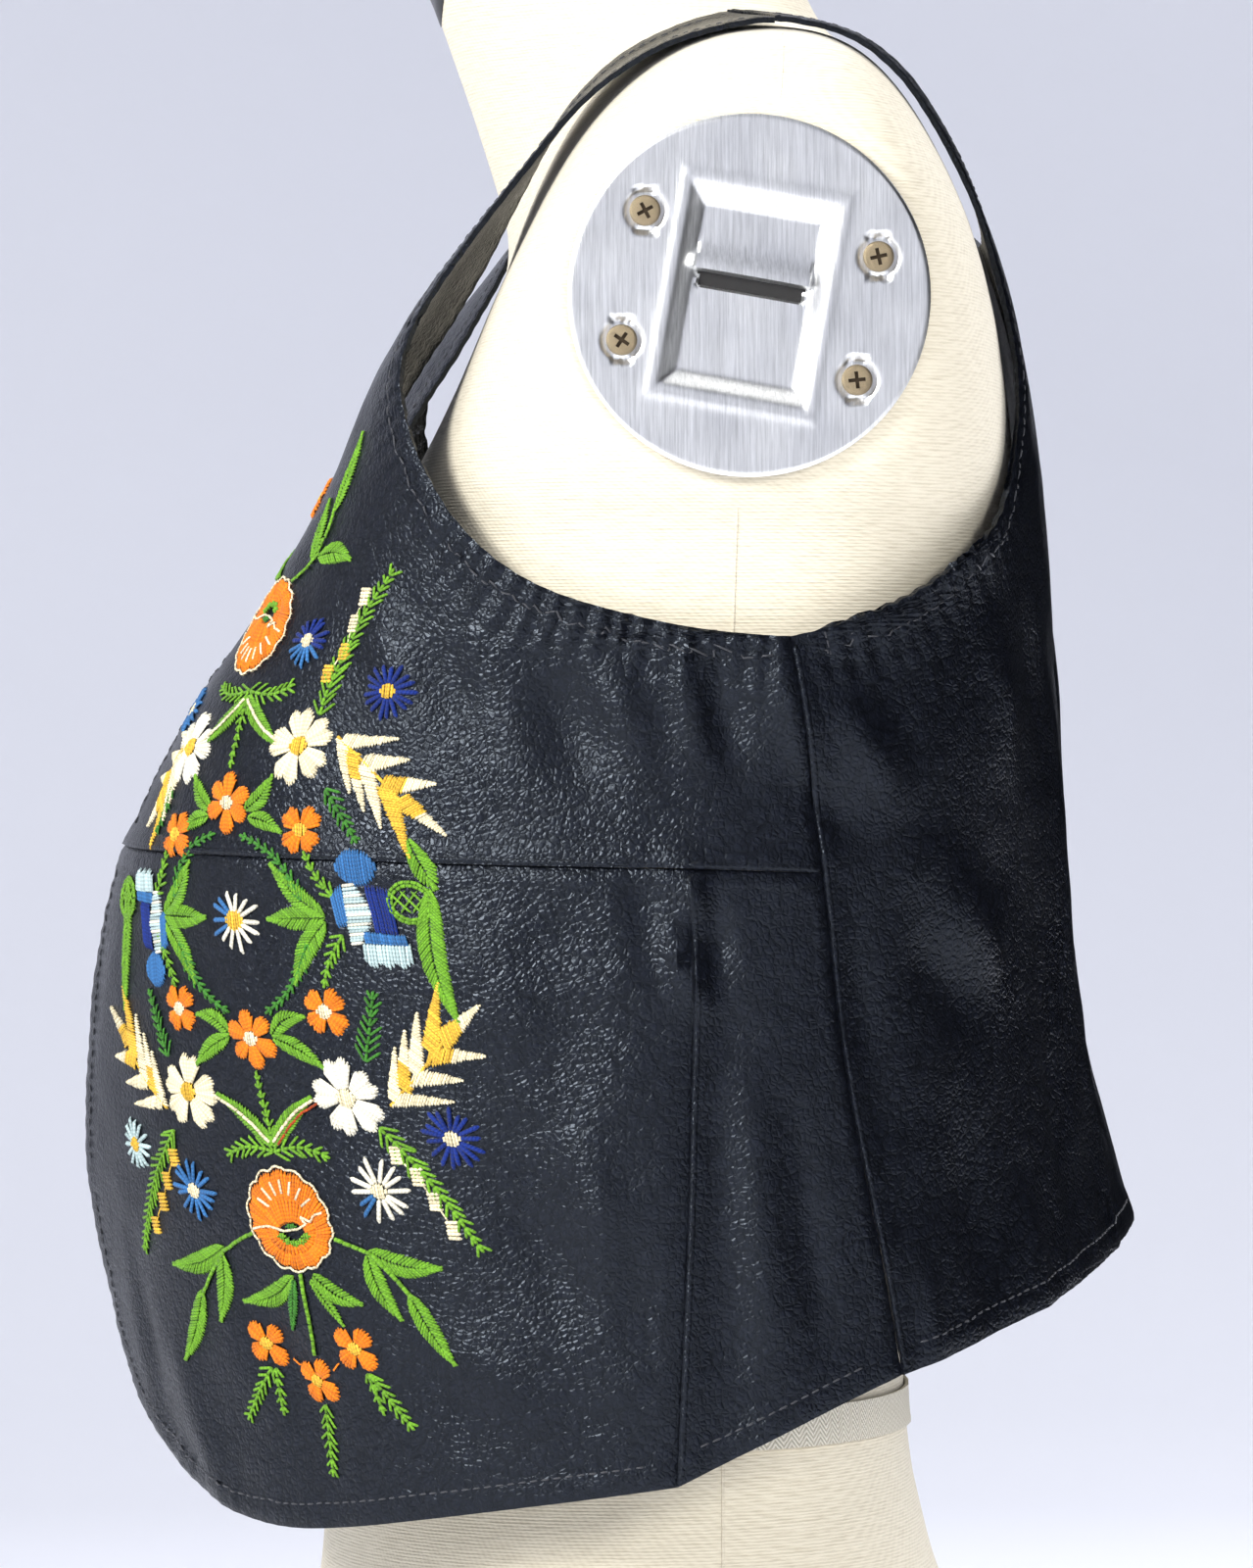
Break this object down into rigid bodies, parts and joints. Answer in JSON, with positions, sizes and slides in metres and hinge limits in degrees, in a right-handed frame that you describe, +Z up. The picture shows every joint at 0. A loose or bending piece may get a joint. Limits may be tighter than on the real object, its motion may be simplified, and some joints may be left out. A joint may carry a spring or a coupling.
{
  "type": "leather vest on dress form",
  "caption": "Cropped sleeveless leather vest with embroidered open fronts, worn on a limbless countertop dress form.",
  "frame": {"origin": "on the dress form's flat underside, in its left-right symmetry plane, under the neck", "axes": "+Z up along the form's height; -Y towards the front of the vest; +X towards the wearer's left"},
  "size_m": [0.334, 0.303, 0.6819],
  "materials": {
    "black_leather": "pebbled, slight sheen",
    "linen_cover": "plain weave",
    "waist_tape": "herringbone weave",
    "black_cap": "gloss",
    "base_board": "plain",
    "arm_plate": "brushed",
    "screw_brass": "machined"
  },
  "bodies": {
    "root": {"form_torso": "linen_cover", "form_neck_cap": "black_cap", "form_base_board": "base_board", "form_waist_tape": "waist_tape", "form_arm_plate_left": "arm_plate", "form_screw_left_1": "screw_brass", "form_screw_left_2": "screw_brass", "form_screw_left_3": "screw_brass", "form_screw_left_4": "screw_brass", "form_arm_plate_right": "arm_plate", "form_screw_right_1": "screw_brass", "form_screw_right_2": "screw_brass", "form_screw_right_3": "screw_brass", "form_screw_right_4": "screw_brass", "vest_front_upper_left": "black_leather", "vest_front_lower_left": "black_leather", "vest_front_side_left": "black_leather", "vest_back_left": "black_leather", "vest_front_upper_right": "black_leather", "vest_front_lower_right": "black_leather", "vest_front_side_right": "black_leather", "vest_back_right": "black_leather"}
  },
  "joints": []
}
